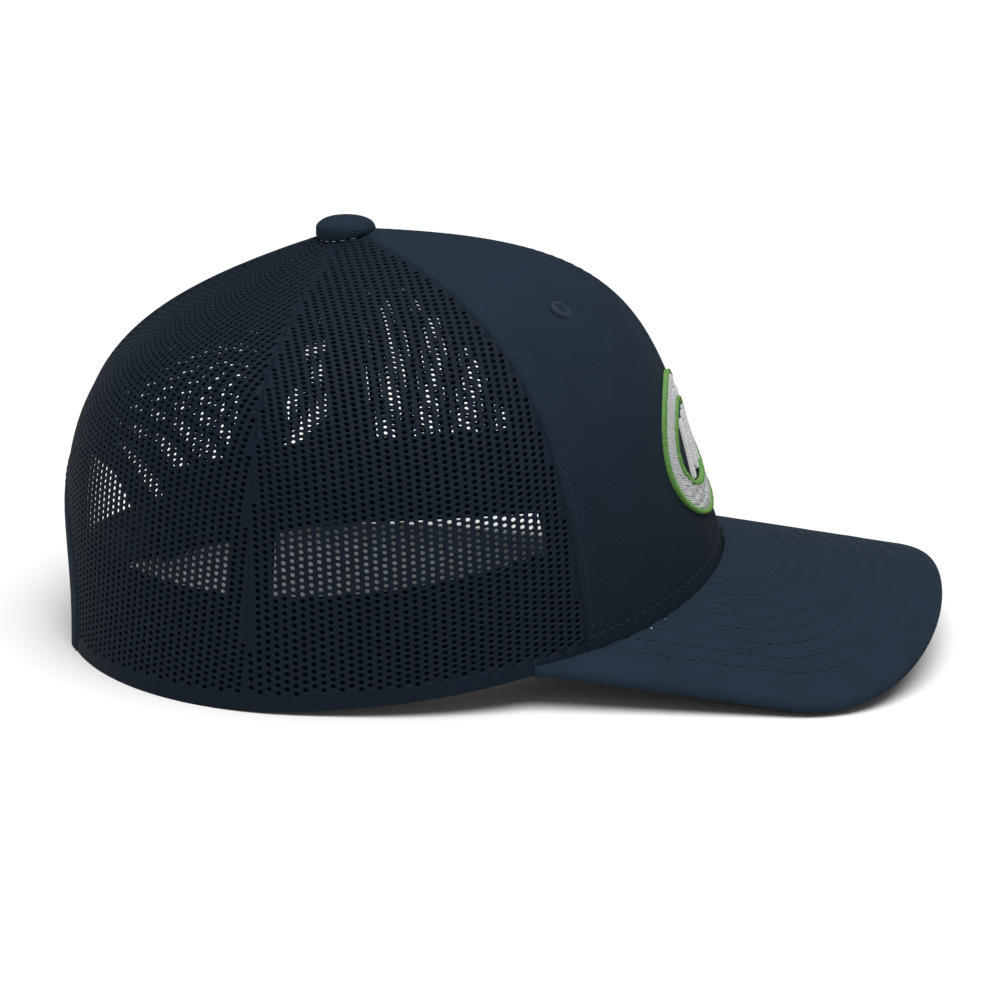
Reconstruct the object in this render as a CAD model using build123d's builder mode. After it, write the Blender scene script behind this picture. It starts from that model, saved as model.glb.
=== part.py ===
from build123d import *
from math import asin, atan2, cos, degrees, radians, sin, sqrt
import os

# Trucker cap standing on its rim and visor. Millimetres, +X is the front of the cap,
# +Y the wearer's left, +Z up. The origin is the middle of the footprint on the table.

# lower edge of the crown: a soft oval around the button axis
button_x = -44.2
rim_front = 107.8
rim_back = 81.0
rim_half_width = 85.35
rim_front_roundness = 2.29
rim_back_roundness = 2.05
rim_front_rise = 22.0
rim_rise_sharpness = 4.0

# crown profile, given at four angles around the button axis
crown_height = 113.0
profile_angles = (0.0, 45.0, 106.0, 180.0)
wall_leans = (20.3, 9.2, 9.0, -2.4)
wall_lengths = (72.6, 61.2, 93.3, 66.3)
crown_lengths = (89.6, 77.9, 91.3, 81.9)
apex_slope_back = 18.0
apex_slope_side = 9.5

# seams between the six panels
front_seam = 42.5
rear_seam = 100.0
top_gap_radius = 3.0

# layers of the crown, as depths below its outer face
panel_depths = (0.0, 1.0)
buckram_depths = (1.05, 1.7)
hem_depths = (1.3, 1.7)
tape_depths = (1.8, 2.3)
band_depths = (2.55, 3.75)
band_rear_shift = 3.4
band_height = 30.0
band_end = 149.0
tape_half_width = 6.5
hem_height = 12.0
thread_depths = (-0.35, -0.05)
thread_width = 0.5
topstitch_offset = 2.6
edge_row_rise = 4.6

# visor
visor_tip_x = 124.9
visor_wide_x = 81.8
visor_half_width = 73.6
visor_tip_fullness = 0.65
visor_side_fullness = 0.61
visor_tail = (11.2, 75.0)
visor_seam_x = 63.6
visor_seam_z = 24.15
visor_fall = 0.128
visor_stations = (-26.0, 32.0, 72.0, 139.0)
visor_radii = (135.0, 165.0, 165.0, 165.0)
visor_thickness = 3.2
cover_thickness = 0.6
edge_wrap = 1.3
row_count = 8
first_row_inset = 10.0
row_pitch = 4.9
row_thread_width = 0.3
row_thread_rise = 0.42
row_end_gap = 1.5
seam_clearance = 0.1

# rear arch and snap strap
arch_half_width = 37.0
arch_height = 44.0
binding_width = 6.0
binding_lip = 0.4
strap_centre_x = -38.45
strap_radius = 85.0
strap_thickness = 1.3
strap_gap = 0.35
strap_low = 2.5
strap_high = 19.5
hinge_y = 33.5
hinge_gap = 0.4
tongue_corner = 6.0
tab_end_y = 48.0
tongue_end_y = 21.0
snap_pitch = 8.0
peg_radius = 1.5
peg_rise = 2.2
hole_radius = 2.4

# button on top
button_radius = 8.3
button_height = 3.2
button_cover_thickness = 0.6
button_base = 60.0
stem_radius = 1.2
washer_radius = 6.0
washer_thickness = 0.8
washer_z = 106.6

# eyelets and emblem on the front
eyelet_angle = 21.5
eyelet_height = 96.3
eyelet_inner = 1.4
eyelet_hole = 1.85
eyelet_outer = 3.4
eyelet_rise = 0.6
emblem_height = 54.5
emblem_half_width = 30.0
emblem_half_height = 20.5
emblem_border = 1.3
emblem_field_width = 7.0
emblem_rise = 1.2
emblem_bar_length = 17.0
emblem_bar_width = 4.0
emblem_bar_pitch = 9.0

front_sections = (0.0, 8.5, 17.0, 25.5, 34.0, front_seam)
side_sections = (front_seam, 52.0, 61.5, 71.0, 80.5, 90.0, rear_seam)
back_sections = (rear_seam, 111.5, 123.0, 134.5, 146.0, 157.5, 169.0, 180.0)


def rim_point(angle):
    """Radius and height of the crown's lower edge at an angle in degrees from the front."""
    c = cos(radians(angle))
    s = sin(radians(angle))
    reach, power = (rim_front, rim_front_roundness) if c > 0 else (rim_back, rim_back_roundness)
    radius = ((abs(c) / reach) ** power + (abs(s) / rim_half_width) ** power) ** (-1 / power)
    height = rim_front_rise * ((1 + c) / 2) ** rim_rise_sharpness
    return radius, height


def at_angle(values, angle):
    """Smooth value between the four profile angles, the same on both sides of the cap."""
    c = cos(radians(angle))
    knots = [cos(radians(a)) for a in profile_angles]
    total = 0.0
    for i, value in enumerate(values):
        weight = 1.0
        for j, knot in enumerate(knots):
            if j != i:
                weight *= (c - knot) / (knots[i] - knot)
        total += weight * value
    return total


def profile(angle, depth):
    """Control points (radius, height) of the crown's profile at a depth below its outer face."""
    radius, height = rim_point(angle)
    lean = radians(at_angle(wall_leans, angle))
    side_part = abs(sin(radians(angle))) ** 0.68
    slope = radians(apex_slope_back * (1 - cos(radians(angle))) / 2 + apex_slope_side * side_part)
    wall = at_angle(wall_lengths, angle) - 0.5 * depth
    crown = at_angle(crown_lengths, angle) - 0.5 * depth
    foot = (radius - depth / cos(lean), height)
    apex = (0.0, crown_height - depth / cos(slope))
    knee = (foot[0] - wall * sin(lean), foot[1] + wall * cos(lean))
    shoulder = (crown * cos(slope), apex[1] - crown * sin(slope))
    return [foot, knee, shoulder, apex]


def on_curve(points, t):
    """Point of a cubic curve."""
    weights = ((1 - t) ** 3, 3 * (1 - t) ** 2 * t, 3 * (1 - t) * t**2, t**3)
    return [sum(w * p[k] for w, p in zip(weights, points)) for k in range(2)]


def parameter_where(points, reached):
    """Curve parameter at which the test on the point first holds, found by halving."""
    low, high = 0.0, 1.0
    for _ in range(40):
        middle = (low + high) / 2
        if reached(on_curve(points, middle)):
            high = middle
        else:
            low = middle
    return high


def stretch_of(points, start, stop):
    """Control points of the stretch of a cubic curve between two parameters."""
    def blend(a, b, t):
        return tuple(u + (v - u) * t for u, v in zip(a, b))

    def split(p, t):
        a, b, c = (blend(p[i], p[i + 1], t) for i in range(3))
        d, e = blend(a, b, t), blend(b, c, t)
        f = blend(d, e, t)
        return [p[0], a, d, f], [f, e, c, p[3]]

    upper = split(points, start)[1] if start > 0 else points
    return split(upper, (stop - start) / (1 - start))[0] if stop < 1 else upper


def meridian(angle):
    """Upright plane through the button axis: local X runs outwards, local Y up."""
    a = radians(angle)
    return Plane(origin=(button_x, 0, 0), x_dir=(cos(a), sin(a), 0), z_dir=(sin(a), -cos(a), 0))


def band_shift(angle):
    """Extra depth of the sweatband behind the strap ends."""
    step = min(1.0, max(0.0, (abs(angle) - 105.0) / 33.0))
    return band_rear_shift * step * step * (3 - 2 * step)


def skin(angles, depths, low_rise=0.0, high_rise=None, shift=None):
    """Curved layer of the crown between two depths, through one section per angle."""
    with BuildPart() as layer:
        for angle in angles:
            extra = shift(angle) if shift else 0.0
            sides = []
            for depth in depths:
                points = profile(angle, depth + extra)
                foot = points[0][1]
                if high_rise is None:
                    stop = parameter_where(points, lambda p: p[0] < top_gap_radius)
                else:
                    stop = parameter_where(points, lambda p: p[1] > foot + high_rise)
                start = 0.0
                if low_rise > 0:
                    start = parameter_where(points, lambda p: p[1] > foot + low_rise)
                sides.append(stretch_of(points, start, stop))
            with BuildSketch(meridian(angle)):
                with BuildLine():
                    Bezier(*sides[0])
                    Bezier(*sides[1])
                    Line(sides[0][0], sides[1][0])
                    Line(sides[0][3], sides[1][3])
                make_face()
        loft()
    return layer.part


def turned(angles, side):
    """The same angles on the wearer's left (+1) or right (-1)."""
    return [side * angle for angle in angles]


def spread(first, last, count):
    """Evenly spaced angles."""
    return [first + (last - first) * i / (count - 1) for i in range(count)]


def both_halves(angles, depths, low_rise=0.0, high_rise=None):
    """A layer that runs across the middle plane, made as two mirrored halves."""
    with BuildPart() as whole:
        add(skin(angles, depths, low_rise, high_rise))
        add(skin(turned(angles, -1), depths, low_rise, high_rise))
    return whole.part


def surface_frame(angle, height):
    """Plane on the crown's outer face at an angle and height, its normal pointing outwards."""
    points = profile(angle, 0.0)
    t = parameter_where(points, lambda p: p[1] > height)
    here = on_curve(points, t)
    ahead = on_curve(points, t + 0.01)
    tangent = (ahead[0] - here[0], ahead[1] - here[1])
    length = sqrt(tangent[0] ** 2 + tangent[1] ** 2)
    c = cos(radians(angle))
    s = sin(radians(angle))
    out, up = tangent[1] / length, -tangent[0] / length
    origin = (button_x + here[0] * c, here[0] * s, here[1])
    return Plane(origin=origin, x_dir=(-s, c, 0), z_dir=(out * c, out * s, up))


def arch_outline(grow):
    """Outline of the rear opening, grown by a margin, drawn in the YZ plane."""
    width = arch_half_width + grow
    straight = arch_height - arch_half_width
    with BuildSketch() as outline:
        with Locations((0, straight)):
            Circle(width)
        with Locations((0, straight / 2 - 10)):
            Rectangle(2 * width, straight + 20)
    return outline.sketch


def arch_plug(grow):
    """Solid that fills the rear opening and the air in front of and behind it."""
    with BuildPart(Plane(origin=(-145, 0, 0), x_dir=(0, 1, 0), z_dir=(1, 0, 0))) as plug:
        add(arch_outline(grow))
        extrude(amount=70)
    return plug.part


def eyelet_drill(side, radius):
    """Round bar through the front panel at an eyelet."""
    with BuildPart(surface_frame(side * eyelet_angle, eyelet_height)) as drill:
        Cylinder(radius, 12)
    return drill.part


def front_panel(side):
    """Twill front panel with its eyelet hole."""
    with BuildPart() as panel:
        add(skin(turned(front_sections, side), panel_depths))
        add(eyelet_drill(side, eyelet_hole + 0.05), mode=Mode.SUBTRACT)
    return panel.part


def front_buckram(side):
    """Stiff lining behind a front panel."""
    with BuildPart() as lining:
        add(skin(turned(front_sections, side), buckram_depths, 1.5, 86.0))
        add(eyelet_drill(side, eyelet_hole + 0.05), mode=Mode.SUBTRACT)
    return lining.part


def back_mesh(side):
    """Rear mesh panel, cut away at the arch."""
    with BuildPart() as panel:
        add(skin(turned(back_sections, side), panel_depths))
        add(arch_plug(0.0), mode=Mode.SUBTRACT)
    return panel.part


def seam_strip(layer, angle, width, offset=0.0, start=0.0):
    """The part of a layer within a straight strip along the seam plane at an angle."""
    a = radians(angle)
    x = button_x + start * cos(a) - offset * sin(a)
    y = start * sin(a) + offset * cos(a)
    place = Location((x, y, 0), (0, 0, angle))
    with BuildPart() as strip:
        add(layer)
        with Locations(place):
            Box(
                240,
                width,
                300,
                align=(Align.MIN, Align.CENTER, Align.CENTER),
                mode=Mode.INTERSECT,
            )
    return strip.part


def seam_tape(side, seam, first, last):
    """Tape of even width that covers a side seam from inside."""
    layer = skin(turned(spread(first, last, 7), side), tape_depths, 1.5)
    return seam_strip(layer, side * seam, 2 * tape_half_width)


def middle_tape(angles, seam, low_rise):
    """Tape over the centre-front or centre-back seam."""
    return seam_strip(both_halves(angles, tape_depths, low_rise), seam, 2 * tape_half_width)


def centre_topstitch():
    """Two thread rows beside the centre-front seam, from the emblem up to the button."""
    emblem_top = emblem_height + emblem_half_height
    layer = both_halves(front_sections[:4], thread_depths, emblem_top - rim_front_rise + 3.0)
    start = button_radius + 1.2
    with BuildPart() as rows:
        for offset in (topstitch_offset, -topstitch_offset):
            add(seam_strip(layer, 0.0, thread_width, offset, start))
    return rows.part


def side_topstitch(side):
    """Thread row on the front panel beside the front seam."""
    layer = skin(turned(front_sections[2:], side), thread_depths, 5.8)
    start = button_radius + 1.2
    return seam_strip(layer, side * front_seam, thread_width, -side * topstitch_offset, start)


def edge_topstitch():
    """Thread row along the bottom of the front panels."""
    high = edge_row_rise + thread_width
    return both_halves(front_sections, thread_depths, edge_row_rise, high)


def sweatband():
    """Band round the inside of the rim, open at the rear arch."""
    angles = spread(-band_end, band_end, 27)
    return skin(angles, band_depths, 0.0, band_height, band_shift)


def arch_binding():
    """Fabric folded over the edge of the rear opening."""
    angles = spread(180.0, 130.0, 6)
    lip = (-binding_lip, panel_depths[1] + binding_lip)
    spared = (-0.03, panel_depths[1] + 0.03)
    with BuildPart() as covered:
        add(both_halves(angles, spared))
        add(arch_plug(-0.05), mode=Mode.SUBTRACT)
    with BuildPart() as binding:
        add(both_halves(angles, lip, 0.0, 62.0))
        add(arch_plug(binding_width), mode=Mode.INTERSECT)
        add(arch_plug(-0.6), mode=Mode.SUBTRACT)
        add(covered.part, mode=Mode.SUBTRACT)
    return binding.part


def rim_loop(grow):
    """Plan of the crown's rim, grown by a margin."""
    points = []
    for i in range(36):
        radius = rim_point(10.0 * i)[0] + grow
        a = radians(10.0 * i)
        points.append((button_x + radius * cos(a), radius * sin(a)))
    with BuildSketch() as loop:
        with BuildLine():
            Spline(*points, periodic=True)
        make_face()
    return loop.sketch


def visor_edge(inset):
    """Control points of the visor's outer edge at an inset, from the tip to the left tail."""
    tip = visor_tip_x - inset
    wide_x = visor_wide_x - 0.5 * inset
    half = visor_half_width - inset
    tail_y = visor_tail[1] - inset
    nose = [
        (tip, 0),
        (tip, visor_tip_fullness * half),
        (wide_x + visor_side_fullness * (tip - wide_x), half),
        (wide_x, half),
    ]
    tail = [
        (wide_x, half),
        (wide_x - 5, half),
        (visor_tail[0] + 3, tail_y),
        (visor_tail[0], tail_y),
    ]
    return nose, tail


def visor_outline(inset, inner_gap):
    """Plan of the visor between its outer edge and the crown's rim."""
    nose, tail = visor_edge(inset)
    end_x, end_y = tail[3]
    with BuildSketch() as plan:
        with BuildLine():
            for side in (1, -1):
                Bezier(*[(x, side * y) for x, y in nose])
                Bezier(*[(x, side * y) for x, y in tail])
            Line((end_x, end_y), (end_x, -end_y))
        make_face()
        add(rim_loop(inner_gap), mode=Mode.SUBTRACT)
    return plan.sketch


def visor_slab(top, bottom):
    """Arched slab between two depths below the visor's top face."""
    reach = 95.0
    with BuildPart() as slab:
        for x, radius in zip(visor_stations, visor_radii):
            with BuildSketch(Plane(origin=(x, 0, 0), x_dir=(0, 1, 0), z_dir=(1, 0, 0))):
                with BuildLine():
                    feet = []
                    for depth in (top, bottom):
                        crest = visor_seam_z - visor_fall * (x - visor_seam_x) - depth
                        r = radius - depth
                        foot = crest - (r - sqrt(r * r - reach * reach))
                        ThreePointArc((-reach, foot), (0, crest), (reach, foot))
                        feet.append(foot)
                    Line((-reach, feet[0]), (-reach, feet[1]))
                    Line((reach, feet[0]), (reach, feet[1]))
                make_face()
        loft()
    return slab.part


def visor_layer(top, bottom, inset=0.0, inner_gap=seam_clearance):
    """Piece of the visor between two depths, inside an outline."""
    with BuildPart() as layer:
        add(visor_outline(inset, inner_gap))
        extrude(amount=80, both=True)
        add(visor_slab(top, bottom), mode=Mode.INTERSECT)
    return layer.part


def visor_top_cover():
    """Twill on top of the visor, turned down over the edge of the board."""
    under = visor_thickness - cover_thickness
    with BuildPart() as cover:
        add(visor_layer(0.0, under - 0.03))
        add(visor_layer(cover_thickness, under + 1, edge_wrap, -3.0), mode=Mode.SUBTRACT)
    return cover.part


def visor_height(x, y, depth):
    """Height of the visor at a depth below its top face, where its arch is even."""
    radius = visor_radii[-1]
    crest = visor_seam_z - visor_fall * (x - visor_seam_x)
    return crest - radius + sqrt((radius - depth) ** 2 - y * y)


def clear_of_crown(x, y):
    """Whether a point in plan is on the even arch and outside the crown's rim with room to spare."""
    reach = sqrt((x - button_x) ** 2 + y * y)
    outside = reach > rim_point(degrees(atan2(y, x - button_x)))[0] + row_end_gap
    return outside and x > visor_stations[1]


def visor_row(inset, depth):
    """Thread that follows the visor's outer edge at an inset, at a depth below its top face."""
    nose, tail = visor_edge(inset)
    steps = [i / 12 for i in range(13)]
    plan = [on_curve(nose, t) for t in steps] + [on_curve(tail, t) for t in steps[1:]]
    plan = [point for point in plan if clear_of_crown(*point)]
    left = [(x, y, visor_height(x, y, depth)) for x, y in plan]
    right = [(x, -y, z) for x, y, z in reversed(left[1:])]
    with BuildPart() as row:
        with BuildLine() as path:
            Polyline(*right, *left)
        with BuildSketch(Plane(origin=path.line @ 0, z_dir=path.line % 0)):
            Rectangle(row_thread_width, row_thread_width)
        sweep(transition=Transition.RIGHT)
    return row.part


def visor_rows(depth):
    """All stitch rows on one face of the visor, as separate threads."""
    insets = [first_row_inset + index * row_pitch for index in range(row_count)]
    return Compound([visor_row(inset, depth).solid() for inset in insets])


def strap_arc(outer, first_y, last_y):
    """Upright curved plate of the snap strap between two distances across the cap."""
    inner = outer - strap_thickness
    middle = (outer + inner) / 2

    def at(radius, y):
        a = asin(y / middle)
        return (strap_centre_x - radius * cos(a), radius * sin(a))

    ys = (first_y, (first_y + last_y) / 2, last_y)
    with BuildPart() as plate:
        with BuildSketch(Plane.XY.offset(strap_low)):
            with BuildLine():
                ThreePointArc(*[at(outer, y) for y in ys])
                ThreePointArc(*[at(inner, y) for y in ys])
                Line(at(outer, first_y), at(inner, first_y))
                Line(at(outer, last_y), at(inner, last_y))
            make_face()
        extrude(amount=strap_high - strap_low)
    return plate.part


def hinge_bar(outer, y):
    """Round bead on the bend line of a strap end."""
    middle = outer - strap_thickness / 2
    a = asin(y / middle)
    with BuildPart() as bead:
        with BuildSketch(Plane.XY.offset(strap_low)):
            with Locations((strap_centre_x - middle * cos(a), middle * sin(a))):
                Circle(strap_thickness / 2)
        extrude(amount=strap_high - strap_low)
    return bead.part


def snap_bar(y, radius, first, last):
    """Round bar across the strap at a snap position, between two radii of the strap."""
    a = asin(y / strap_radius)
    plane = Plane(
        origin=(strap_centre_x - first * cos(a), first * sin(a), (strap_low + strap_high) / 2),
        x_dir=(0, 0, 1),
        z_dir=(-cos(a), sin(a), 0),
    )
    with BuildPart(plane) as bar:
        Cylinder(radius, last - first, align=(Align.CENTER, Align.CENTER, Align.MIN))
    return bar.part


def tongue(outer, side):
    """Free strap end on one side, rounded at its tip, with a bead on its bend line."""
    with BuildPart() as plate:
        add(strap_arc(outer, side * hinge_y, -side * tongue_end_y))
        tip = plate.edges().filter_by(Axis.Z, reverse=True).sort_by(Axis.Y)
        tip = tip[:4] if side > 0 else tip[-4:]
        tip = [edge for edge in tip if edge.length < 2 * strap_thickness]
        fillet(tip, tongue_corner)
        add(hinge_bar(outer, side * hinge_y))
    return plate.part


def strap_tab(outer, side):
    """Sewn end of a strap, from just beyond the bend line to its tip behind the panel."""
    start = hinge_y + strap_thickness / 2 + hinge_gap
    return strap_arc(outer, side * start, side * tab_end_y)


def tongue_with_holes():
    """Outer strap end, pierced for the snaps."""
    with BuildPart() as strap:
        add(tongue(strap_radius, 1))
        for i in range(-2, 4):
            bar = snap_bar(snap_pitch * i, hole_radius, strap_radius - 5, strap_radius + 5)
            add(bar, mode=Mode.SUBTRACT)
    return strap.part


def tongue_with_pegs():
    """Inner strap end, carrying the snap pegs."""
    face = strap_radius - strap_thickness - strap_gap
    with BuildPart() as strap:
        add(tongue(face, -1))
        for i in range(-3, 3):
            add(snap_bar(snap_pitch * i, peg_radius, face - 0.5, face + peg_rise))
    return strap.part


def half_crown_top(side, depth):
    """One half of the top of the crown as a solid."""
    with BuildPart() as half:
        for angle in turned(spread(0.0, 180.0, 13), side):
            points = profile(angle, depth)
            start = parameter_where(points, lambda p: p[0] < 2 * button_radius)
            stop = parameter_where(points, lambda p: p[0] < 0.4)
            arc = stretch_of(points, start, stop)
            with BuildSketch(meridian(angle)):
                with BuildLine():
                    Bezier(*arc)
                    Line(arc[0], (arc[0][0], button_base))
                    Line((arc[0][0], button_base), (arc[3][0], button_base))
                    Line((arc[3][0], button_base), arc[3])
                make_face()
        loft()
    return half.part


def crown_below(depth):
    """Top of the crown as a solid, down from a depth below its outer face."""
    core = crown_height - depth - button_base - 0.2
    with BuildPart() as top:
        add(half_crown_top(1, depth))
        add(half_crown_top(-1, depth))
        with Locations((button_x, 0, button_base)):
            Cylinder(2.0, core, align=(Align.CENTER, Align.CENTER, Align.MIN))
    return top.part


def button_dome(radius, height):
    """Domed button shape reaching down past the crown."""
    base = crown_height - 5
    with BuildPart() as dome:
        with BuildSketch(Plane.XZ):
            with BuildLine():
                Line((0, base), (radius, base))
                Line((radius, base), (radius, crown_height - 0.6))
                Bezier(
                    (radius, crown_height - 0.6),
                    (radius, crown_height + 0.55 * height),
                    (0.62 * radius, crown_height + height),
                    (0, crown_height + height),
                )
                Line((0, crown_height + height), (0, base))
            make_face()
        revolve(axis=Axis.Z)
    return dome.part.moved(Location((button_x, 0, 0)))


def button_cover(top):
    """Fabric over the button."""
    with BuildPart() as cover:
        add(button_dome(button_radius, button_height))
        t = button_cover_thickness
        add(button_dome(button_radius - t, button_height - t), mode=Mode.SUBTRACT)
        add(top, mode=Mode.SUBTRACT)
    return cover.part


def button_shell(top):
    """Metal button under its fabric, with the stem that passes through the crown."""
    gap = button_cover_thickness + 0.03
    with BuildPart() as shell:
        add(button_dome(button_radius - gap, button_height - gap))
        add(top, mode=Mode.SUBTRACT)
        with Locations((button_x, 0, washer_z - 0.6)):
            Cylinder(
                stem_radius,
                crown_height + 1 - washer_z,
                align=(Align.CENTER, Align.CENTER, Align.MIN),
            )
    return shell.part


def button_washer():
    """Washer that holds the button stem inside the crown."""
    with BuildPart() as washer:
        with Locations((button_x, 0, washer_z)):
            Cylinder(washer_radius, washer_thickness)
            Cylinder(stem_radius + 0.02, washer_thickness, mode=Mode.SUBTRACT)
        fillet(washer.edges().group_by(Axis.Z)[0].sort_by(SortBy.LENGTH)[-1], 0.3)
    return washer.part


def eyelet(side):
    """Stitched ring through the front panel and its lining."""
    around = turned(front_sections, side)
    inner = buckram_depths[1]
    with BuildPart() as fabric:
        add(skin(around, (-0.03, inner + 0.03), 30.0, 88.0))
        add(eyelet_drill(side, eyelet_hole), mode=Mode.SUBTRACT)
    with BuildPart(surface_frame(side * eyelet_angle, eyelet_height)) as ring:
        Cylinder(eyelet_outer, 8)
        Cylinder(eyelet_inner, 8, mode=Mode.SUBTRACT)
    with BuildPart() as stitched:
        add(ring.part)
        add(skin(around, (-eyelet_rise, inner + eyelet_rise), 30.0, 88.0), mode=Mode.INTERSECT)
        add(fabric.part, mode=Mode.SUBTRACT)
    return stitched.part


def emblem_piece(outline, rise):
    """Raised embroidery on the front, cut to an outline drawn on the emblem's plane."""
    layer = both_halves(front_sections, (-rise, -0.03), 4.0, 78.0)
    with BuildPart() as piece:
        with BuildSketch(surface_frame(0.0, emblem_height)):
            add(outline)
        extrude(amount=25, both=True)
        add(layer, mode=Mode.INTERSECT)
    return piece.part


def emblem_oval(inset):
    """Oval that follows the emblem's edge at an inset."""
    with BuildSketch() as oval:
        Ellipse(emblem_half_width - inset, emblem_half_height - inset)
    return oval.sketch


def emblem_ring(outer, inner):
    """Oval ring between two insets from the emblem's edge."""
    with BuildSketch() as ring:
        add(emblem_oval(outer))
        add(emblem_oval(inner), mode=Mode.SUBTRACT)
    return ring.sketch


def emblem_border_plan():
    """The two cords that bound the satin ring."""
    inner = emblem_border + emblem_field_width
    with BuildSketch() as cords:
        add(emblem_ring(0.0, emblem_border))
        add(emblem_ring(inner, inner + emblem_border))
    return cords.sketch


def emblem_bars_plan():
    """Three slanted bars inside the ring."""
    with BuildSketch() as bars:
        for x in (-emblem_bar_pitch, 0.0, emblem_bar_pitch):
            with Locations(Location((x, 0, 0), -20)):
                SlotOverall(emblem_bar_length, emblem_bar_width, rotation=90)
    return bars.sketch


def save(name, part):
    """Write one named piece."""
    part.label = name
    export_step(part, f"parts/{name}.step")


os.makedirs("parts", exist_ok=True)

for side, word in ((-1, "right"), (1, "left")):
    save(f"front_panel_{word}", front_panel(side))
    save(f"front_buckram_{word}", front_buckram(side))
    save(f"side_mesh_{word}", skin(turned(side_sections, side), panel_depths))
    save(f"back_mesh_{word}", back_mesh(side))
    hem_angles = turned(side_sections[:-1] + back_sections[:4], side)
    save(f"mesh_hem_{word}", skin(hem_angles, hem_depths, 0.3, hem_height))
    save(f"front_seam_tape_{word}", seam_tape(side, front_seam, 21.5, 71.0))
    save(f"rear_seam_tape_{word}", seam_tape(side, rear_seam, 71.5, 139.0))
    save(f"front_side_topstitch_{word}", side_topstitch(side))
    save(f"eyelet_{word}", eyelet(side))

save("centre_front_tape", middle_tape(spread(0.0, 21.0, 4), 0.0, 1.5))
save("centre_back_tape", middle_tape(spread(180.0, 139.5, 6), 180.0, arch_height + 8.0))
save("centre_front_topstitch", centre_topstitch())
save("crown_edge_topstitch", edge_topstitch())
save("sweatband", sweatband())
save("arch_binding", arch_binding())

under_top = visor_thickness - cover_thickness
save("visor_board", visor_layer(cover_thickness + 0.05, under_top - 0.08, edge_wrap + 0.1))
save("visor_top_cover", visor_top_cover())
save("visor_under_cover", visor_layer(under_top, visor_thickness))
save("visor_stitch_rows_top", visor_rows(-row_thread_rise))
save("visor_stitch_rows_under", visor_rows(visor_thickness + row_thread_rise))

save("strap_tab_holes", strap_tab(strap_radius, 1))
save("strap_tab_pegs", strap_tab(strap_radius - strap_thickness - strap_gap, -1))
save("strap_tongue_holes", tongue_with_holes())
save("strap_tongue_pegs", tongue_with_pegs())

crown_top = crown_below(-0.04)
save("button_cover", button_cover(crown_top))
save("button_shell", button_shell(crown_top))
save("button_washer", button_washer())

field_plan = emblem_ring(emblem_border + 0.05, emblem_border + emblem_field_width - 0.05)
save("emblem_border", emblem_piece(emblem_border_plan(), emblem_rise + 0.3))
save("emblem_field", emblem_piece(field_plan, emblem_rise))
save("emblem_bars", emblem_piece(emblem_bars_plan(), emblem_rise))
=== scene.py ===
import math

import bmesh
import bpy
import numpy as np
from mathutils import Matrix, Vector


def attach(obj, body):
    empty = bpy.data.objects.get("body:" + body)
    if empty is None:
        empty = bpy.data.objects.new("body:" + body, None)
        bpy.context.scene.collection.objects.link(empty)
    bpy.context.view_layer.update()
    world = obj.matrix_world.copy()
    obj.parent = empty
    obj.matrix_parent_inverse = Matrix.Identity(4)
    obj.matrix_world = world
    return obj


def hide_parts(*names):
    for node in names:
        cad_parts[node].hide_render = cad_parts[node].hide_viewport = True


# A trucker cap dressed over its CAD frame. Lengths are worked out in millimetres and
# scaled to metres when a mesh is made.

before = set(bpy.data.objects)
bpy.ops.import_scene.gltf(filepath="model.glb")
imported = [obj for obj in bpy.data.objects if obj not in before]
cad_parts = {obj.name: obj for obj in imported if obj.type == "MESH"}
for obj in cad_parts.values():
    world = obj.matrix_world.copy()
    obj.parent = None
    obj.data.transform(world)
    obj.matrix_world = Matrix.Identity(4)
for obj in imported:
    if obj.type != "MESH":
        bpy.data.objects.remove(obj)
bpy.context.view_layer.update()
RNG = np.random.default_rng(7)

# ---------------------------------------------------------------- crown surface
BUTTON_X = -44.2
CROWN_HEIGHT = 113.0
FRONT_SEAM, REAR_SEAM = 42.5, 100.0
ARCH_HALF_WIDTH, ARCH_HEIGHT = 37.0, 44.0


def rim(angle):
    """Radius and height of the lower edge at angles in degrees."""
    c, s = np.cos(np.radians(angle)), np.sin(np.radians(angle))
    reach = np.where(c > 0, 107.8, 81.0)
    power = np.where(c > 0, 2.29, 2.05)
    total = (np.abs(c) / reach) ** power + (np.abs(s) / 85.35) ** power
    return total ** (-1 / power), 22.0 * ((1 + c) / 2) ** 4


def between(values, angle):
    """Smooth value through the four profile angles."""
    c = np.cos(np.radians(angle))
    knots = np.cos(np.radians([0.0, 45.0, 106.0, 180.0]))
    total = 0.0
    for i, value in enumerate(values):
        weight = 1.0
        for j, knot in enumerate(knots):
            if j != i:
                weight = weight * (c - knot) / (knots[i] - knot)
        total = total + weight * value
    return total


def controls(angle, depth):
    """Radii and heights of the four control points of the profile."""
    r, h = rim(angle)
    lean = np.radians(between((20.3, 9.2, 9.0, -2.4), angle))
    side = np.abs(np.sin(np.radians(angle))) ** 0.68
    slope = np.radians(9.0 * (1 - np.cos(np.radians(angle))) + 9.5 * side)
    wall = between((72.6, 61.2, 93.3, 66.3), angle) - 0.5 * depth
    crown = between((89.6, 77.9, 91.3, 81.9), angle) - 0.5 * depth
    r0 = r - depth / np.cos(lean)
    top = CROWN_HEIGHT - depth / np.cos(slope)
    radii = (r0, r0 - wall * np.sin(lean), crown * np.cos(slope), 0 * r0)
    heights = (h, h + wall * np.cos(lean), top - crown * np.sin(slope), top + 0 * r0)
    return radii, heights


def profile(angle, t, depth=0.0):
    """Radius and height on the crown."""
    radii, heights = controls(np.asarray(angle, float), depth)
    w = ((1 - t) ** 3, 3 * (1 - t) ** 2 * t, 3 * (1 - t) * t**2, t**3)
    return sum(a * b for a, b in zip(w, radii)), sum(a * b for a, b in zip(w, heights))


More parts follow.
